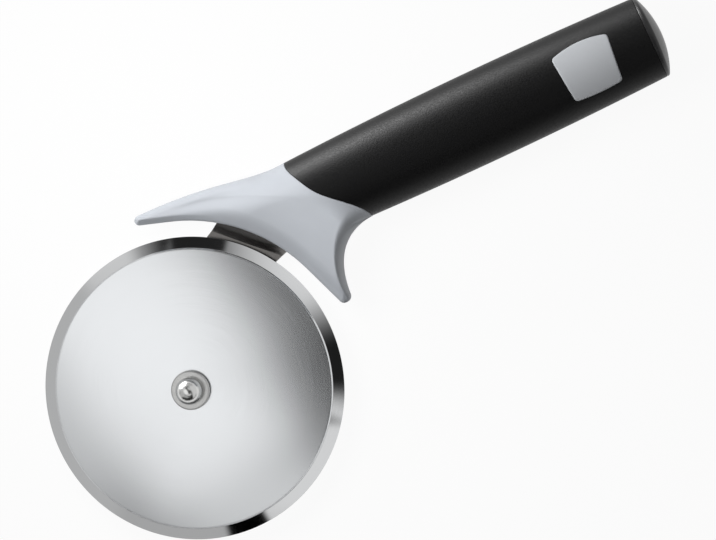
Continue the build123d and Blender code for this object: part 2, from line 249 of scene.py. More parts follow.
def drawn_wire_steel():
    """Drawn wire, cut into pins: dull, with lines along it."""
    made, tree, shader = finish("drawn_steel_wire", Base_Color=linear("a9a8a6"), Metallic=1.0)
    pattern = grain(tree, 0.1, stretch=(1, 1, 0.05))
    work_surface(tree, shader, pattern, smooth=0.35, rough=0.5, height=0.002)
    return made


satin, buffed, polished = satin_dome_steel(), buffed_bevel_steel(), polished_ball_steel()
turned, tumbled = turned_collar_steel(), tumbled_steel()
brushed, wire = brushed_sheet_steel(), drawn_wire_steel()
print("metals", [made.name for made in (satin, buffed, polished, turned, tumbled, brushed, wire)])

# %% [markdown]
# ## Plastics
# Guard and badge are light grey polypropylene from a blasted tool: matt, a little waxy. The badge is a
# moulding of its own in the same grey, painted a shade paler as painted light, since the lamps reach it
# less. The grip is a thermoplastic rubber from a spark-eroded tool, whose pits take its shine away. Real
# pits are about 0.1 mm wide, and here they are drawn four times coarser so that they show. The cap is
# plain black polypropylene, the core glass-filled nylon, and the bush and the slip washers are acetal.


# %% Plastics and rubber
def cloudy(tree, shader, size, dark, light):
    """Colour that drifts between two hex values over patches size mm across."""
    drift = add(tree, "ShaderNodeMix", {
        "Factor": grain(tree, size, detail=3.0), "A": linear(dark), "B": linear(light),
    }, data_type="RGBA")
    tree.links.new(drift, shader.inputs["Base Color"])


def blasted_plastic(name, dark, light):
    """Polypropylene from a blasted tool, between two hex colours."""
    made, tree, shader = finish(name, IOR=1.49)
    cloudy(tree, shader, 9.0, dark, light)
    work_surface(tree, shader, grain(tree, 0.25, detail=1.0), smooth=0.48, rough=0.56, height=0.003)
    return made


def pitted_black_rubber():
    """Black thermoplastic rubber from a spark-eroded tool."""
    made, tree, shader = finish("spark_eroded_black_rubber", IOR=1.45, Specular_IOR_Level=0.22)
    cloudy(tree, shader, 6.0, "030304", "060606")
    work_surface(tree, shader, grain(tree, 0.45), smooth=0.36, rough=0.56, height=0.05)
    return made


def plain_black_plastic():
    """Black polypropylene, matt, for the cap."""
    made, tree, shader = finish("moulded_black_polypropylene", IOR=1.49)
    cloudy(tree, shader, 6.0, "121213", "171718")
    work_surface(tree, shader, grain(tree, 0.3), smooth=0.3, rough=0.42, height=0.008)
    return made


def filled_nylon():
    """Dark glass-filled nylon, for the core that nobody sees."""
    made, tree, shader = finish("moulded_glass_filled_nylon", IOR=1.53)
    cloudy(tree, shader, 3.0, "262627", "2f2f30")
    pattern = grain(tree, 0.4, detail=3.0, stretch=(0.3, 1, 1))
    work_surface(tree, shader, pattern, smooth=0.45, rough=0.65, height=0.01)
    return made


def natural_acetal():
    """Moulded natural acetal: waxy and nearly white."""
    made, tree, shader = finish("moulded_natural_acetal", IOR=1.48)
    cloudy(tree, shader, 2.0, "e3e1d8", "eae8e0")
    work_surface(tree, shader, grain(tree, 0.4), smooth=0.3, rough=0.4, height=0.002)
    return made


grey = blasted_plastic("blasted_grey_polypropylene", "b0b4ba", "b7bbc1")
# The badge's grey is the guard's, painted lighter as painted light: the lamps reach the badge less.
grey_painted_lighter = blasted_plastic("blasted_grey_painted_lighter", "c6c9cd", "cccfd3")
rubber, black = pitted_black_rubber(), plain_black_plastic()
nylon, acetal = filled_nylon(), natural_acetal()
print("plastics", [made.name for made in (grey, grey_painted_lighter, rubber, black, nylon, acetal)])

# %% [markdown]
# ## Pieces that stay as they are
# Nut, washers, bush, pins and core are hidden or plain turned parts, and their solids are right as they
# are. They only get their finish, and a small bevel so that no edge is sharper than a real one. The arm
# is such a piece as well: a strip of sheet whose cut edges were tumbled. The number beside each finish is
# the width of that piece's bevel in millimetres.

# %% Finishes for the solids
edge_segments, edge_angle = 2, math.radians(40)
kept_solids = {
    "wheel_arm": (brushed, 0.25),
    "axle_nut": (tumbled, 0.1),
    "rear_washer": (tumbled, 0.1),
    "front_slip_washer": (acetal, 0.05),
    "rear_slip_washer": (acetal, 0.05),
    "hub_bush": (acetal, 0.08),
    "grip_core": (nylon, 0.2),
    "tang_pins": (wire, 0.15),
}
for name, (material, edge) in kept_solids.items():
    solid = nodes[name]
    solid.data.materials.clear()
    solid.data.materials.append(material)
    bevel = solid.modifiers.new("edge", "BEVEL")
    bevel.width = edge * MM
    bevel.segments = edge_segments
    bevel.limit_method = "ANGLE"
    bevel.angle_limit = edge_angle
print("kept", len(kept_solids), "solids with new finishes")

# %% [markdown]
# ## Rings of points
# A turned part, a grip and a cap are all the same thing to a mesh: rings of points, joined by faces.
# A ring of one point is a tip. One function numbers the faces, and another makes the piece, turns its
# faces outwards, keeps its real edges crisp and lets large faces rule the shading at rounded corners.

# %% From rings to a piece
crisp_angle = math.radians(35)


def ring_faces(rings, closed=False):
    """Faces between rings of points, and the number of the gap between rings that each lies in."""
    starts = np.cumsum([0] + [len(ring) for ring in rings])
    faces, gaps = [], []
    pairs = [(i, i + 1) for i in range(len(rings) - 1)] + ([(len(rings) - 1, 0)] if closed else [])
    for gap, (i, j) in enumerate(pairs):
        steps = max(len(rings[i]), len(rings[j]))
        for k in range(steps):
            after = (k + 1) % steps
            corners = [starts[i] + k % len(rings[i]), starts[i] + after % len(rings[i]),
                       starts[j] + after % len(rings[j]), starts[j] + k % len(rings[j])]
            faces.append(list(dict.fromkeys(int(corner) for corner in corners)))
            gaps.append(gap)
    return faces, gaps


def closed_mesh(name, points, faces):
    """A mesh of points in mm whose faces all look outwards."""
    mesh = bpy.data.meshes.new(name)
    mesh.from_pydata([tuple(float(v) * MM for v in point) for point in points], [], faces)
    work = bmesh.new()
    work.from_mesh(mesh)
    bmesh.ops.recalc_face_normals(work, faces=work.faces)
    work.to_mesh(mesh)
    work.free()
    return mesh


def place_mesh(name, mesh):
    """An object of a mesh that was drawn from the foot of the axle."""
    made = bpy.data.objects.new(name, mesh)
    made.location = axle
    bpy.context.scene.collection.objects.link(made)
    return made


def make_piece(name, body, points, faces, materials, finishes=None):
    """A piece that stands for the node of its own name, rides on a body and takes a slot's finish."""
    mesh = closed_mesh(name, points, faces)
    for material in materials:
        mesh.materials.append(material)
    mesh.polygons.foreach_set("material_index", finishes or [0] * len(faces))
    mesh.polygons.foreach_set("use_smooth", [True] * len(faces))
    mesh.set_sharp_from_angle(angle=crisp_angle)
    made = place_mesh(name + "_look", mesh)
    weighted = made.modifiers.new("shading", "WEIGHTED_NORMAL")
    weighted.keep_sharp = True
    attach(made, body)
    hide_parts(name)
    print(made.name, "has", len(points), "points and", len(faces), "faces")
    return made


print("two rings of 8 points are joined by", len(ring_faces([range(8)] * 2)[0]), "faces")

# %% [markdown]
# ## Turned parts
# A lathe profile is a list of corners, each with the distance over which it is rounded and the finish of
# the stretch after it. Screw modifiers can spin such a profile too, but points worked out here let each
# stretch carry its own material, so that the bevel's polish ends exactly at its edge.

# %% A lathe
tip_radius = 1e-6


def ease_corners(corners, closed, steps=4):
    """Points along a profile of (radius, level, easing, finish) corners, and the finish after each."""
    points, finishes = [], []
    for i, (radius, level, easing, surface) in enumerate(corners):
        here = np.array((radius, level))
        if not easing or (not closed and i in (0, len(corners) - 1)):
            points.append(here)
            finishes.append(surface)
            continue
        before = np.array(corners[i - 1][:2]) - here
        after = np.array(corners[(i + 1) % len(corners)][:2]) - here
        start = here + before / np.linalg.norm(before) * easing
        end = here + after / np.linalg.norm(after) * easing
        for share in np.linspace(0, 1, steps + 1):
            points.append((1 - share) ** 2 * start + 2 * share * (1 - share) * here + share ** 2 * end)
            finishes.append(surface)
    return points, finishes


def turn_on_lathe(name, body, corners, materials, closed, steps=288):
    """A piece turned about the axle from a profile."""
    profile, stretch = ease_corners(corners, closed)
    angles = np.arange(steps) * 2 * math.pi / steps
    rings = [
        [(radius * math.cos(a), radius * math.sin(a), level) for a in angles] if radius > tip_radius
        else [(0, 0, level)] for radius, level in profile
    ]
    faces, gaps = ring_faces(rings, closed)
    points = [point for ring in rings for point in ring]
    return make_piece(name, body, points, faces, materials, [stretch[gap] for gap in gaps])


one_corner = ease_corners([(0, 0, 0, 0), (1, 0, 0.2, 0), (1, 1, 0, 0)], False)[0]
print("an eased corner has", len(one_corner) - 2, "points")

# %% [markdown]
# ## The wheel
# The wheel is pressed from one sheet of stainless steel: a shallow dome, a small step down, and a flat
# rim that is ground to an edge from the front. The step is what draws the thin line round the dome. Its
# back is the same sheet seen from inside, so the profile goes back under the dome to the bore.

# %% The wheel's profile
sheet, edge_land, bore = 1.15, 0.2, 4.55
bevel_width, step_run, step_rise, dome_rise = 3.7, 0.25, 0.5, 3.0
step_top_ease, step_foot_ease, edge_ease, back_ease = 0.1, 0.12, 0.04, 0.2
front_stop, back_stop, dome_rows = 0.5, 0.1, 40
edge_level = wheel_low.z / MM
bevel_level = edge_level + sheet
foot_level = bevel_level + step_rise
dome_foot = wheel_radius - bevel_width - step_run
dome_radius = (dome_foot ** 2 + dome_rise ** 2) / (2 * dome_rise)
hub_level = foot_level + dome_rise


def dome_level(radius, inset=0.0):
    """Level of the dome at a radius, or of the sheet's back below it."""
    return hub_level - dome_radius + math.sqrt((dome_radius - inset) ** 2 - radius ** 2)


SATIN, BUFFED = 0, 1
front = [(r, dome_level(r), 0, SATIN) for r in np.linspace(bore, dome_foot - front_stop, dome_rows)]
back = [(r, dome_level(r, sheet), 0, SATIN) for r in np.linspace(dome_foot - back_stop, bore, dome_rows)]
wheel_profile = front + [
    (dome_foot, foot_level, step_top_ease, SATIN),
    (dome_foot + step_run, bevel_level, step_foot_ease, BUFFED),
    (wheel_radius, edge_level + edge_land, edge_ease, BUFFED),
    (wheel_radius, edge_level, edge_ease, SATIN),
    (dome_foot, edge_level, back_ease, SATIN),
] + back
blade_wheel = turn_on_lathe(
    "blade_wheel", "wheel", wheel_profile, [satin, buffed], closed=True, steps=512,
)

# %% [markdown]
# ## The ball head and its collar
# The axle ends in a polished ball that sits in a turned collar, the one bright point in the middle of the
# satin dome. The ball is nearly a whole one, so that light shows under its sides, and its shank goes on
# through the wheel and the arm into the nut.

# %% Ball and collar
ball_radius, ball_neck, ball_rows = 4.45, 2.0, 40
shank, thread, thread_ease = 3.0, 2.5, 0.2
bore_gap, bore_ease, collar_ease, collar_chamfer = 0.05, 0.08, 0.12, 0.35
collar_low, collar_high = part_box("axle_collar")
collar_level, collar_top = collar_low.z / MM, collar_high.z / MM
collar_radius = (collar_high.x - collar_low.x) / 2 / MM
arm_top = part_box("rear_slip_washer")[0].z / MM
pin_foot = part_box("axle_pin")[0].z / MM
sweep = np.radians(np.linspace(90, -math.degrees(math.asin(ball_neck / ball_radius)), ball_rows))
ball_profile = [
    (ball_radius * math.cos(a), collar_top + ball_neck + ball_radius * math.sin(a), 0, 0) for a in sweep
] + [
    (shank, collar_top, 0, 0),
    (shank, arm_top, 0, 0),
    (thread, arm_top, 0, 0),
    (thread, pin_foot, thread_ease, 0),
    (0, pin_foot, 0, 0),
]
turn_on_lathe("axle_pin", "handle", ball_profile, [polished], closed=False, steps=144)
collar_profile = [
    (shank + bore_gap, collar_level, bore_ease, 0),
    (collar_radius, collar_level, collar_ease, 0),
    (collar_radius, collar_top - collar_chamfer, collar_ease, 0),
    (collar_radius - collar_chamfer, collar_top, collar_ease, 0),
    (shank + bore_gap, collar_top, bore_ease, 0),
]
axle_collar = turn_on_lathe(
    "axle_collar", "handle", collar_profile, [turned], closed=True, steps=192,
)

# %% [markdown]
# ## The handle's form
# Guard, grip, badge and cap share one long oval form. Across, it is a single shallow arc that is widest
# where the palm lies. Through its depth it is the same arc made flatter. Written as two small functions,
# the form can be asked for at any point, so the four pieces meet without a gap or a step. The seam
# between guard and grip is a smooth curve through five points across the handle.

# %% The barrel and its seam
bulge_reach, barrel_radius = 122.5, 1577.0
flattening = half_depth / half_width
seam_start, seam_length = 59.4, 19.0
seam_across = np.array((-0.976, -0.515, -0.03, 0.43, 0.91)) * half_width
seam_along = seam_start + seam_length * np.array((1.0, 0.772, 0.38, 0.153, 0.0))


def barrel(reach):
    """Half width of the handle at a reach from the axle."""
    return half_width - barrel_radius + np.sqrt(barrel_radius ** 2 - (reach - bulge_reach) ** 2)


def level_curve(places, values):
    """A cubic curve through values at rising places, level at both ends, as a function."""
    gaps = np.diff(places)
    count = len(places)
    matrix, wanted = np.eye(count), np.zeros(count)
    for i in range(1, count - 1):
        matrix[i, i - 1:i + 2] = 1 / gaps[i - 1], 2 / gaps[i - 1] + 2 / gaps[i], 1 / gaps[i]
        wanted[i] = 3 * (values[i] - values[i - 1]) / gaps[i - 1] ** 2
        wanted[i] += 3 * (values[i + 1] - values[i]) / gaps[i] ** 2
    slopes = np.linalg.solve(matrix, wanted)

    def curve(place):
        place = np.clip(place, places[0], places[-1])
        i = np.clip(np.searchsorted(places, place, side="right") - 1, 0, count - 2)
        share = (place - places[i]) / gaps[i]
        rise = share ** 2 * (3 - 2 * share)
        lean = slopes[i] * share * (1 - share) ** 2 - slopes[i + 1] * share ** 2 * (1 - share)
        return values[i] * (1 - rise) + values[i + 1] * rise + gaps[i] * lean

    return curve


seam_reach = level_curve(seam_across, seam_along)
print("the seam runs from", seam_reach(half_width), "to", seam_reach(-half_width), "mm from the axle")

# %% [markdown]
# ## The grip cover
# The cover is a soft skin 2 mm thick, moulded over the core. It starts at an S-shaped seam, where it
# butts against the guard, and ends at the parting line of the cap. Every ring of the mesh leans a little
# towards the seam's S, so the rows of faces run with the seam, and the ends carry a small rounded lip.
# The seam's reach depends on the width there, and the width on the reach, so a few rounds settle both.

# %% The cover's rings
cover_thickness, lip, parting = 2.0, 0.3, 0.15
lip_rows, outside_rows, inside_rows, seam_rounds = 5, 130, 60, 6
around = np.linspace(0, 2 * math.pi, 240, endpoint=False)


def handle_ring(reach, inset):
    """Points round the handle at a reach for each angle, inset below its surface."""
    wide = barrel(reach) - inset
    deep = barrel(reach) * flattening - inset
    return np.column_stack((
        reach, handle_drop + wide * np.cos(around), handle_level + deep * np.sin(around),
    ))


seam_here = np.full(len(around), seam_start + seam_length / 2)
for _ in range(seam_rounds):
    seam_here = seam_reach(barrel(seam_here) * np.cos(around))
run = grip_end - seam_here
cover_rings = [handle_ring(seam_here, cover_thickness)]
cover_rings += [
    handle_ring(seam_here + lip * (1 - math.cos(turn)), lip * (1 - math.sin(turn)))
    for turn in np.radians(np.linspace(0, 90, lip_rows))
]
cover_rings += [
    handle_ring(seam_here + lip + (run - lip - parting) * share, 0)
    for share in np.linspace(0, 1, outside_rows)[1:]
]
cover_rings += [handle_ring(seam_here + run, inset) for inset in (parting, cover_thickness)]
cover_rings += [
    handle_ring(seam_here + run * share, cover_thickness)
    for share in np.linspace(1, 0, inside_rows)[1:-1]
]
faces, _ = ring_faces(cover_rings, True)
grip_cover = make_piece(
    "grip_cover", "handle", np.concatenate(cover_rings), faces, [rubber],
)

# %% [markdown]
# ## The badge and its window
# A bare plate of the guard's grey plastic, painted paler as painted light, is let into the front of the
# grip. Its outline is a slightly tapered shield with a bowed top, and its face follows the handle, a
# quarter of a millimetre proud. The window is the same outline, cut through the cover a little larger,
# so that a fine shadow line is left.

# %% The badge's outline
badge_reach, badge_top_half, badge_bottom_half = 161.55, 9.65, 8.1
badge_top, badge_bottom, badge_arch, badge_sag, badge_corner = 6.4, -8.9, 1.6, 0.5, 1.1
side_points, corner_points = 40, 10


def shield(grow=0.0):
    """The badge's outline as (reach, across) points, grown outwards by some mm."""
    top, low = badge_top_half + grow, badge_bottom_half + grow
    up, down = badge_top + grow, badge_bottom - grow
    corners = np.array([(-top, up), (top, up), (low, down), (-low, down)], float)
    bows = (badge_arch, 0, -badge_sag, 0)
    points = []
    for start, end, following, bow, after in zip(
        corners, np.roll(corners, -1, 0), np.roll(corners, -2, 0), bows, bows[1:] + bows[:1],
    ):
        trim = (badge_corner + grow) / np.linalg.norm(end - start)
        share = np.linspace(trim, 1 - trim, side_points)[:, None]
        side = start + (end - start) * share + 4 * bow * share * (1 - share) * (0, 1)
        points.append(side)
        trim = (badge_corner + grow) / np.linalg.norm(following - end)
        far = end + (following - end) * trim + 4 * after * trim * (1 - trim) * np.array((0, 1))
        turn = np.linspace(0, 1, corner_points)[1:-1, None]
        points.append((1 - turn) ** 2 * side[-1] + 2 * turn * (1 - turn) * end + turn ** 2 * far)
    return np.concatenate(points) + (badge_reach, 0)


def handle_front(reach, across):
    """Level of the handle's front at a point."""
    return handle_level + flattening * np.sqrt(np.maximum(barrel(reach) ** 2 - across ** 2, 0))


outline = shield()
print("badge outline", len(outline), "points,", np.round(np.ptp(outline, axis=0), 2), "mm")

# %% [markdown]
# The window is cut with a boolean, which is the quickest way to an outline that no ring follows. The
# cutter is a plain prism of the outline, and it is deleted once the cut is applied.

# %% Cutting the window
window_gap, prism_foot, prism_over = 0.12, 2, 2
prism = [
    [(x, handle_drop + y, level) for x, y in shield(window_gap)]
    for level in (handle_level + prism_foot, handle_level + half_depth + prism_over)
]
faces, _ = ring_faces(prism)
count = len(prism[0])
faces += [list(range(count)), list(range(count, 2 * count))]
cutter = place_mesh("cutter", closed_mesh("cutter", prism[0] + prism[1], faces))
cut = grip_cover.modifiers.new("window", "BOOLEAN")
cut.operation = "DIFFERENCE"
cut.solver = "EXACT"
cut.object = cutter
grip_cover.modifiers["shading"].show_viewport = False
bpy.context.view_layer.update()
whole = grip_cover.evaluated_get(bpy.context.evaluated_depsgraph_get())
grip_cover.data = bpy.data.meshes.new_from_object(whole)
grip_cover.modifiers.remove(cut)
grip_cover.modifiers["shading"].show_viewport = True
grip_cover.data.set_sharp_from_angle(angle=crisp_angle)
bpy.data.objects.remove(cutter)
print("cover with its window has", len(grip_cover.data.polygons), "faces")

# %% [markdown]
# The badge is drawn in rings too, all of its own outline: up its wall, over a rounded edge, and then
# shrinking to the middle of its face. Each point of the face takes its level from the handle's form.

# %% The badge itself
badge_proud, badge_round, badge_foot = 0.25, 0.45, 1.8
foot_shares, round_rows, face_rows = (0.33, 0.66, 1), 6, 14
edge = np.roll(outline, -1, 0) - np.roll(outline, 1, 0)
inward = np.column_stack((edge[:, 1], -edge[:, 0])) / np.linalg.norm(edge, axis=1)[:, None]
centre = outline.mean(0)
inward *= np.sign((inward * (centre - outline)).sum(1).mean())


def badge_ring(plan, sink):
    """A ring of the badge, some mm below its proud face."""
    level = handle_front(plan[:, 0], plan[:, 1]) + badge_proud - sink
    return np.column_stack((plan[:, 0], handle_drop + plan[:, 1], level))


rim = outline + inward * badge_round
badge_rings = [badge_ring(centre[None], badge_foot)]
badge_rings += [badge_ring(centre + (outline - centre) * share, badge_foot) for share in foot_shares]
badge_rings += [
    badge_ring(outline + inward * badge_round * (1 - math.cos(turn)), badge_round * (1 - math.sin(turn)))
    for turn in np.radians(np.linspace(0, 90, round_rows))
]
badge_rings += [
    badge_ring(centre + (rim - centre) * share, 0) for share in np.linspace(1, 0, face_rows)[1:-1]
]
badge_rings += [badge_ring(centre[None], 0)]
faces, _ = ring_faces(badge_rings)
# The badge takes the grey painted lighter, which stands in for light the lamps don't bring it.
badge = make_piece("badge", "handle", np.concatenate(badge_rings), faces, [grey_painted_lighter])

# %% [markdown]
# ## The end cap
# The cap closes the handle with a shallow dome. Where the dome meets its short side there is a soft
# corner, and where the cap meets the cover both edges are broken, which draws the fine dark parting
# line. The rings run from that line over the corner to the middle of the dome.

# %% The end cap
cap_length, cap_side, cap_ease, foot_ease = 4.0, 0.86, 0.75, 0.05
cap_first, cap_rows, side_limit = 0.93, 16, 0.95
cap_half = float(barrel(grip_end))
cap_rise = cap_length - cap_side
cap_radius = (cap_half ** 2 + cap_rise ** 2) / (2 * cap_rise)
cap_middle = grip_end + cap_length - cap_radius


def cap_section(angle):
    """Points of the cap's profile at an angle round the handle, as (share of the oval, reach)."""
    oval = math.hypot(cap_half * math.cos(angle), cap_half * flattening * math.sin(angle))
    dome = [
        (oval * share, cap_middle + math.sqrt(cap_radius ** 2 - (share * oval) ** 2))
        for share in [1] + list(np.linspace(cap_first, 0, cap_rows))
    ]
    side = dome[0][1] - grip_end - parting - foot_ease
    corners = [
        (0.0, grip_end, 0, 0),
        (oval - parting, grip_end, 0, 0),
        (oval, grip_end + parting, foot_ease, 0),
        (*dome[0], min(cap_ease, side_limit * side), 0),
    ] + [(*point, 0, 0) for point in dome[1:]]
    points, _ = ease_corners(corners, False)
    return [(radius / oval, reach) for radius, reach in points]


sections = [cap_section(angle) for angle in around]
cap_rings = []
for i in range(len(sections[0])):
    ring = [
        (section[i][1], handle_drop + cap_half * section[i][0] * math.cos(angle),
         handle_level + cap_half * flattening * section[i][0] * math.sin(angle))
        for section, angle in zip(sections, around)
    ]
    cap_rings.append(ring[:1] if i in (0, len(sections[0]) - 1) else ring)
faces, _ = ring_faces(cap_rings)
make_piece(
    "end_cap", "handle", [point for ring in cap_rings for point in ring], faces, [black],
)

# %% [markdown]
# ## The guard
# The guard is the one free form of the cutter: a crescent round the rim with a wing on each side, which
# grows out of the handle. Its outline has four sides, so a Coons patch fills it with a grid. Each point
# of the grid then rises by a height that falls to the edges like a quarter circle: over the whole half
# width at the seam, where the section is the handle's oval, and over a few millimetres at the wings.

# %% The guard's outline
guard_radius = 55.4
upper_angle, upper_length, upper_tip_radius = 72.0, 10.1, 1.6
lower_angle, lower_length, lower_tip_radius = 21.0, 14.9, 1.9
upper_shares, lower_shares = (0.55, 0.75), (0.65, 0.58)
waist_reach, lower_waist_reach, seam_margin = 56.0, 79.6, 0.05
rim_points, waist_points, seam_points = 160, 12, 200


def compass(angle):
    """Unit vector at an angle in degrees."""
    return np.array((math.cos(math.radians(angle)), math.sin(math.radians(angle))))


def arc(middle, radius, start, end, count=40):
    """Points on a circle from one angle to another."""
    return np.array([middle + radius * compass(a) for a in np.linspace(start, end, count)])


def bezier(a, b, c, d, count=80):
    """Points on a cubic curve."""
    t = np.linspace(0, 1, count)[:, None]
    return (1 - t) ** 3 * a + 3 * t * (1 - t) ** 2 * b + 3 * t ** 2 * (1 - t) * c + t ** 3 * d


upper_end = guard_radius * compass(upper_angle) + upper_length * compass(upper_angle + 90)
lower_end = guard_radius * compass(lower_angle) + lower_length * compass(lower_angle - 90)
upper_tip = upper_end + upper_tip_radius * compass(upper_angle)
lower_tip = lower_end + lower_tip_radius * compass(lower_angle)
upper_middle, lower_middle = (upper_angle + 180 + 90) / 2, (lower_angle + 180 + 360) / 2
upper_edge = upper_tip + (0, upper_tip_radius)
lower_edge = lower_tip + (lower_tip_radius, 0)
upper_waist = np.array((waist_reach, handle_drop + barrel(waist_reach)))
lower_waist = np.array((lower_waist_reach, handle_drop - barrel(lower_waist_reach)))
upper_run = upper_waist[0] - upper_edge[0]
lower_run, lower_fall = lower_waist - lower_edge
under_side = np.concatenate((
    arc(upper_tip, upper_tip_radius, upper_middle, upper_angle + 180),
    arc(np.zeros(2), guard_radius, upper_angle, lower_angle, rim_points),
    arc(lower_tip, lower_tip_radius, lower_angle + 180, lower_middle),
))
top_side = np.concatenate((
    arc(upper_tip, upper_tip_radius, upper_middle, 90)[:-1],
    bezier(
        upper_edge, upper_edge + (upper_run * upper_shares[0], 0),
        np.array((upper_edge[0] + upper_run * upper_shares[1], upper_waist[1])), upper_waist,
    )[:-1],
    [(x, handle_drop + barrel(x)) for x in np.linspace(waist_reach, seam_start, waist_points)],
))
right_side = np.concatenate((
    arc(lower_tip, lower_tip_radius, lower_middle, 360)[:-1],
    bezier(
        lower_edge, lower_edge + (0, lower_fall * lower_shares[1]),
        np.array((lower_waist[0] - lower_run * lower_shares[0], lower_waist[1])), lower_waist,
    ),
))
seam_end = float(seam_reach(-half_width))
right_side = np.concatenate((
    right_side[right_side[:, 0] < seam_end - seam_margin], [(seam_end, handle_drop - barrel(seam_end))],
))
across = np.linspace(barrel(seam_start), -barrel(seam_end), seam_points)
seam_side = np.column_stack((seam_reach(across), handle_drop + across))
print("guard outline from", np.round(upper_tip, 2), "to", np.round(lower_tip, 2))

# %% [markdown]
# The grid is crowded towards its four sides, because that is where the height falls fast. Each side is
# first divided by its own length, and the patch then carries these divisions across.

# %% The guard's grid
columns, rows = 181, 141


def both_ends(share):
    """Crowd points towards both ends."""
    return (1 - np.cos(math.pi * share)) / 2


def divide(line, count):
    """The same line with its points crowded towards both ends."""
    length = np.concatenate(([0], np.cumsum(np.linalg.norm(np.diff(line, axis=0), axis=1))))
    wanted = both_ends(np.linspace(0, 1, count)) * length[-1]
    return np.column_stack([np.interp(wanted, length, line[:, i]) for i in (0, 1)])


under, seam = divide(under_side, columns), divide(seam_side, columns)
top, side = divide(top_side, rows), divide(right_side, rows)
s = both_ends(np.linspace(0, 1, columns))[None, :, None]
t = both_ends(np.linspace(0, 1, rows))[:, None, None]
plan = (
    (1 - t) * under[None] + t * seam[None] + (1 - s) * top[:, None] + s * side[:, None]
    - (1 - s) * (1 - t) * under[0] - s * (1 - t) * under[-1] - (1 - s) * t * seam[0] - s * t * seam[-1]
)
step_s, step_t = plan[:-1, 1:] - plan[:-1, :-1], plan[1:, :-1] - plan[:-1, :-1]
turn = step_s[..., 0] * step_t[..., 1] - step_s[..., 1] * step_t[..., 0]
print("guard grid", plan.shape[:2], "cells turned over:", int(min((turn > 0).sum(), (turn < 0).sum())))

# %% [markdown]
# The height starts from a rim 4.3 mm to each side of the handle's level and grows to the handle's own
# oval at the seam. Two details keep the upper wing from looking like a cushion: over the wheel its face
# rises in a short slope to a soft ridge, and behind the ridge it leans slowly down to the far edge. Both
# fade out along the grid, so that the neck and the other wing keep plain rounded edges. Each fade is
# given by its start and its length, as shares of the grid.

# %% The guard's height
rim_half, wing_round, under_round, wall_half, thinnest = 4.3, 2.3, 6.0, 1.5, 0.03
ridge_in, ridge_soft, wing_lean, right_tightness = 1.9, 0.02, 0.1, 0.4
wing_along, wing_across, ridge_along, oval_from = (0.1, 0.35), (0.2, 0.7), (0.08, 0.3), 0.75
past_seam_run, no_length = 25, 1e-12


def distance(line):
    """Distance from each grid point to a line of points."""
    best = np.full(plan.shape[:2], np.inf)
    for a, step in zip(line[:-1], np.diff(line, axis=0)):
        length = step @ step
        if length > no_length:
            share = np.clip(((plan - a) @ step) / length, 0, 1)
            best = np.minimum(best, np.linalg.norm(plan - a - share[..., None] * step, axis=-1))
    return best


def quarter(share):
    """A quarter circle from 0 to 1."""
    return np.sqrt(np.maximum(1 - (1 - np.minimum(share, 1)) ** 2, 0))


def smooth(share):
    """A smooth step from 0 to 1."""
    share = np.clip(share, 0, 1)
    return share ** 2 * (3 - 2 * share)


def fading(share, start, length):
    """1 up to a start, and then a smooth fall to 0 over a length."""
    return 1 - smooth((share - start) / length)


s, t = s[..., 0], t[..., 0]
reach, across = plan[..., 0], plan[..., 1] - handle_drop
under_way = distance(under_side)
wing_share = fading(s, *wing_along) * fading(t, *wing_across)
crown = barrel(reach) * flattening
full = rim_half + (crown - rim_half) * (1 - (1 - t) ** 2) * (1 - wing_share)
full -= wing_lean * under_way * wing_share
print("the wing leans down by", round(float((wing_lean * under_way * wing_share).max()), 2), "mm")

ridge_way = under_way / ridge_in
ridge = (ridge_way + 1 - np.sqrt((ridge_way - 1) ** 2 + ridge_soft)) / 2
ridged = fading(s, *ridge_along)
rise = quarter(under_way / under_round) * (1 - ridged) + ridge * ridged
edge_round = wing_round + (barrel(reach) - wing_round) * smooth(t) ** 2
past_seam = [
    (x, handle_drop + barrel(x))
    for x in np.linspace(seam_start + 1, seam_start + past_seam_run, past_seam_run)
]
rise *= quarter(distance(np.concatenate((top_side, past_seam))) / edge_round)
rise *= quarter(distance(right_side) / (right_tightness * edge_round))

wall = thinnest + wall_half * (1 - t) ** 2
half = wall + (full - wall) * rise
oval = np.maximum(handle_front(reach, across) - handle_level, thinnest)
at_seam = smooth((t - oval_from) / (1 - oval_from))
half = half * (1 - at_seam) + oval * at_seam
half = np.maximum(half - lip * (1 - quarter(distance(seam_side) / lip)), thinnest)
print("guard half height from", round(float(half.min()), 2), "to", round(float(half.max()), 2), "mm")

# %% [markdown]
# A row of the grid over the handle's level and the same row under it make one ring, so the rows make a
# tube. Strips of faces close its two ends, along the rim and along the seam.

# %% The guard's mesh
guard_rings = []
for i in range(rows):
    front_row = np.column_stack((plan[i], handle_level + half[i]))
    back_row = np.column_stack((plan[i], handle_level - half[i]))[::-1]
    guard_rings.append(np.concatenate((front_row, back_row)))
faces, _ = ring_faces(guard_rings)
around_row = 2 * columns
for first in (0, (rows - 1) * around_row):
    last = first + around_row - 1
    faces += [[first + k, first + k + 1, last - 1 - k, last - k] for k in range(columns - 1)]
guard = make_piece("guard", "handle", np.concatenate(guard_rings), faces, [grey])

# %% [markdown]
# ## Floor
# The cutter lies on a white sheet. Light Path lets rays from the camera and from metal see the sheet as
# plain white, while light that bounces sees a real matt surface. A share of that matt surface is left in
# what the camera sees, so the cutter keeps a faint shadow.

# %% Floor
floor_half, plain_share = 2.0, 0.94


def seen_plainly(tree):
    """1 for a ray from the camera or from something shiny or clear, and 0 for others."""
    path = tree.nodes.new("ShaderNodeLightPath").outputs
    either = add(tree, "ShaderNodeMath", {
        0: path["Is Camera Ray"], 1: path["Is Glossy Ray"],
    }, operation="MAXIMUM")
    return add(tree, "ShaderNodeMath", {0: either, 1: path["Is Transmission Ray"]}, operation="MAXIMUM")


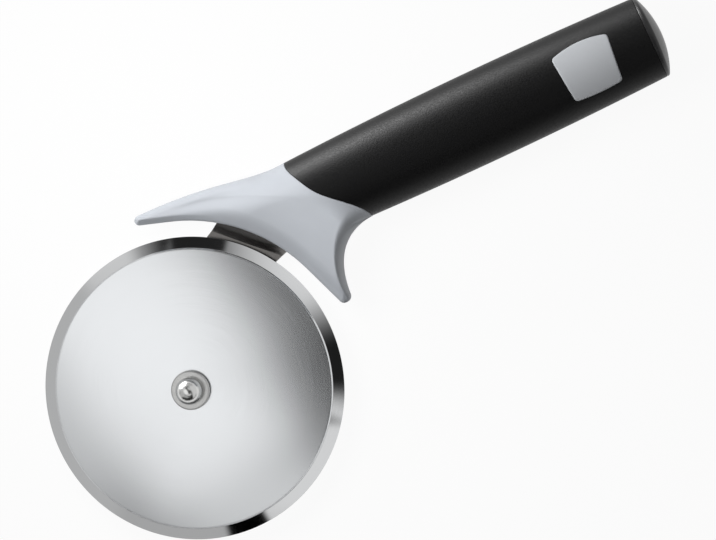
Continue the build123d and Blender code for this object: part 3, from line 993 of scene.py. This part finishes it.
def white_sheet():
    """White paper that shows as plain white with a faint shadow."""
    made, tree, shader = finish(
        "white_paper_sheet", Base_Color=linear("e6e6e6"), Roughness=0.8, Specular_IOR_Level=0.2,
    )
    share = add(tree, "ShaderNodeMath", {0: seen_plainly(tree), 1: plain_share}, operation="MULTIPLY")
    plain = add(tree, "ShaderNodeEmission", {"Color": (1, 1, 1, 1), "Strength": 1.0})
    mixed = add(tree, "ShaderNodeMixShader", {0: share, 1: shader.outputs["BSDF"], 2: plain})
    tree.links.new(mixed, tree.nodes["Material Output"].inputs["Surface"])
    return made


def square(name, half, material):
    """A flat square of the stage."""
    mesh = bpy.data.meshes.new(name)
    mesh.from_pydata(
        [(x * half, y * half, 0) for x, y in ((-1, -1), (1, -1), (1, 1), (-1, 1))], [], [(0, 1, 2, 3)]
    )
    mesh.materials.append(material)
    made = bpy.data.objects.new(name, mesh)
    bpy.context.scene.collection.objects.link(made)
    print(name, "is", 2 * half, "m wide")
    return made


square("floor", floor_half, white_sheet())

# %% [markdown]
# ## Light
# Metal shows what stands over it, so the studio matters as much as the steel. A dark ceiling with soft
# panels hangs over the cutter, and only reflections see it. Each panel is given by the tilt of its
# middle, as seen from the wheel, in degrees along and across the handle, then by its turn, its half
# length and half width, the softness of its edge and its brightness. A later panel lies over an earlier
# one, so the dark ones are holes. The dark between the panels puts the wedge on the dome and the black
# patches on the bevel.

# %% The ceiling's panels
ceiling_level, ceiling_height, ceiling_half = 0.016, 0.6, 3.6
panels = [
    (-57.5, -2.5, -25, 27.5, 60, 12, 0.58),
    (-29, -35.5, -4, 15, 13, 8, 0.515),
    (-14, 6.5, 9, 15, 23, 4, 1.19),
    (20.5, 19.5, 111, 17.5, 4.6, 15, 1.14),
    (1.3, 27.2, -40, 6.7, 7.2, 1.7, 0.02),
    (-0.6, -27.1, 3, 20.6, 9.6, 5.5, 0.89),
    (-16.4, -34.2, -13, 5.5, 5.2, 2.1, 0.0),
    (-21.4, 37.8, 1, 7.2, 4.8, 5.7, 0.86),
    (8.7, -11.3, 0, 8, 11.7, 2.6, 0.0),
    (-64, -60, 45, 25, 16, 6, 0.02),
    (56, 0, 0, 26, 75, 8, 0.8),
    (-10, 62, 0, 75, 17, 8, 0.5),
]


def panel_ceiling():
    """A dark surface with soft panels, drawn by the tilt at which the wheel sees each point."""
    made = bpy.data.materials.new("studio_ceiling")
    made.use_nodes = True
    tree = made.node_tree
    tree.nodes.remove(tree.nodes["Principled BSDF"])
    place = add(tree, "ShaderNodeSeparateXYZ", {"Vector": own_place(tree)}).node.outputs
    tilts = []
    for name in ("X", "Y"):
        angle = add(tree, "ShaderNodeMath", {0: place[name], 1: ceiling_height}, operation="ARCTAN2")
        tilts.append(add(tree, "ShaderNodeMath", {0: angle}, operation="DEGREES"))
    seen = add(tree, "ShaderNodeCombineXYZ", {"X": tilts[0], "Y": tilts[1]})
    level = ceiling_level
    for along, across, turn, half_long, half_wide, soft, bright in panels:
        off = add(tree, "ShaderNodeVectorMath", {0: seen, 1: (along, across, 0)}, operation="SUBTRACT")
        off = add(tree, "ShaderNodeVectorRotate", {
            "Vector": off, "Angle": -math.radians(turn),
        }, rotation_type="Z_AXIS")
        off = add(tree, "ShaderNodeVectorMath", {0: off}, operation="ABSOLUTE")
        share = add(tree, "ShaderNodeMapRange", {
            "Vector": off,
            "From Min": (half_long - soft / 2, half_wide - soft / 2, -1),
            "From Max": (half_long + soft / 2, half_wide + soft / 2, 1),
            "To Min": (1, 1, 1),
            "To Max": (0, 0, 0),
        }, data_type="FLOAT_VECTOR", interpolation_type="SMOOTHSTEP")
        share = add(tree, "ShaderNodeSeparateXYZ", {"Vector": share}).node.outputs
        share = add(tree, "ShaderNodeMath", {0: share["X"], 1: share["Y"]}, operation="MULTIPLY")
        level = add(tree, "ShaderNodeMix", {"Factor": share, "A": level, "B": bright}, data_type="FLOAT")
    glow = add(tree, "ShaderNodeEmission", {"Color": (1, 1, 1, 1), "Strength": level})
    tree.links.new(glow, tree.nodes["Material Output"].inputs["Surface"])
    return made


ceiling = square("ceiling", ceiling_half, panel_ceiling())
ceiling.location = (axle.x, axle.y, ceiling_height)
for sight in ("visible_camera", "visible_diffuse", "visible_shadow", "visible_transmission"):
    setattr(ceiling, sight, False)
print("ceiling with", len(panels), "panels")

# %% [markdown]
# The world is plain: white where the camera or a reflection looks past the ceiling and the floor, and an
# even light on everything else. Two lamps add direction, the key from low on the far side of the handle
# and the fill from above the guard's upper wing. They would only put bright squares on the steel, so
# reflections don't see them. A strip does the opposite: it lights nothing, but its reflection is the
# long highlight on the grip and the bright spot on the ball. Light linking keeps it off the wheel and
# the collar, where it would draw white lines, and off the grey plastics, which it would bleach.

# %% World and lamps
world_level = 0.14
world = bpy.data.worlds.new("studio")
world.use_nodes = True
bpy.context.scene.world = world
tree = world.node_tree
level = add(tree, "ShaderNodeMix", {
    "Factor": seen_plainly(tree), "A": world_level, "B": 1.0,
}, data_type="FLOAT")
background = tree.nodes["Background"]
background.inputs["Color"].default_value = (1, 1, 1, 1)
tree.links.new(level, background.inputs["Strength"])


def soft_lamp(name, turn, tilt, distance, size, energy):
    """A rectangular lamp, aimed at the origin from a compass turn and a tilt from straight up."""
    data = bpy.data.lights.new(name, "AREA")
    data.shape = "RECTANGLE"
    data.size, data.size_y = size
    data.energy = energy
    made = bpy.data.objects.new(name, data)
    bpy.context.scene.collection.objects.link(made)
    turn, tilt = math.radians(turn), math.radians(tilt)
    made.location = distance * Vector((
        math.sin(tilt) * math.cos(turn), math.sin(tilt) * math.sin(turn), math.cos(tilt),
    ))
    made.rotation_euler = made.location.to_track_quat("Z", "Y").to_euler()
    print(name, "lamp at", [round(value, 2) for value in made.location])
    return made


key = soft_lamp("key", turn=110, tilt=78, distance=1.1, size=(0.9, 0.5), energy=6.6)
key.visible_glossy = False
strip = soft_lamp("strip", turn=112, tilt=77, distance=1.15, size=(0.9, 0.45), energy=31.0)
strip.visible_diffuse = False
fill = soft_lamp("fill", turn=121, tilt=34, distance=0.21, size=(0.12, 0.12), energy=0.33)
fill.visible_camera = fill.visible_glossy = False

skipped = bpy.data.collections.new("skipped_by_the_strip")
for piece in (blade_wheel, axle_collar, guard, badge):
    skipped.objects.link(piece)
for linked in skipped.collection_objects:
    linked.light_linking.link_state = "EXCLUDE"
strip.light_linking.receiver_collection = skipped

# %% [markdown]
# ## Closing
# Colours are shown as they are, without a film curve.

# %% View
bpy.context.scene.view_settings.view_transform = "Standard"
bpy.context.view_layer.update()
